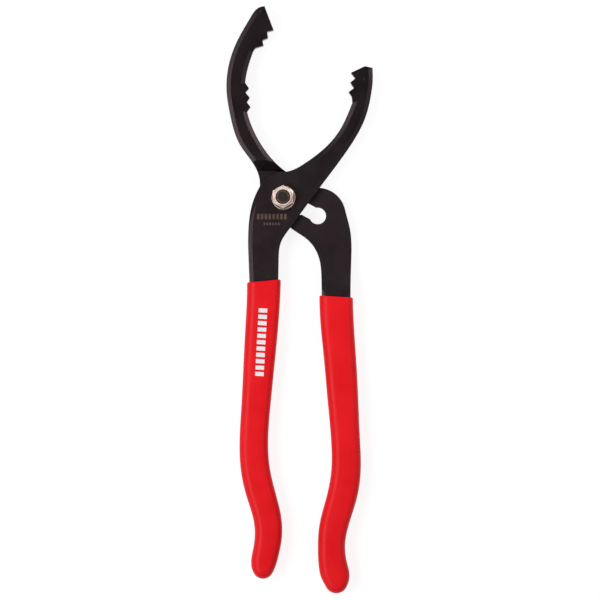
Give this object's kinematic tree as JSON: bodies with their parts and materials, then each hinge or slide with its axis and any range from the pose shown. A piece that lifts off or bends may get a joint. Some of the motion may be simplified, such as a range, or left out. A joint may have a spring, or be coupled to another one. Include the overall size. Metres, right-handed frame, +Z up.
{
  "type": "oil filter pliers",
  "caption": "Slip-joint oil filter pliers with long curved toothed jaws, a slotted pivot plate and dipped red grips.",
  "frame": {"origin": "on the pivot axis, at the flat face of the bolt head that the tool lies on", "axes": "+X to the right, +Y from the handles towards the jaws, +Z up along the pivot bolt towards its nut"},
  "size_m": [0.0784, 0.3144, 0.0183],
  "materials": {
    "black_steel": "satin black oxide over a forged surface",
    "red_vinyl": "satin dipped vinyl",
    "dark_bolt_steel": "dark oiled steel",
    "plated_steel": "bright zinc plate",
    "insert_nylon": "natural nylon"
  },
  "bodies": {
    "back": {"back_half": "black_steel", "right_grip": "red_vinyl"},
    "pivot": {"pivot_bolt": "dark_bolt_steel", "pivot_washer": "plated_steel", "lock_nut": "plated_steel", "nut_insert": "insert_nylon"},
    "front": {"front_half": "black_steel", "left_grip": "red_vinyl"}
  },
  "joints": [
    {"name": "slip", "type": "slide", "parent": "back", "child": "pivot", "axis": [0.8805, -0.4741, 0], "range_m": [0, 0.0211]},
    {"name": "handle_pivot", "type": "hinge", "parent": "pivot", "child": "front", "pos_m": [0, 0, 0.00635], "axis": [0, 0, -1], "range_deg": [0, 42]}
  ]
}
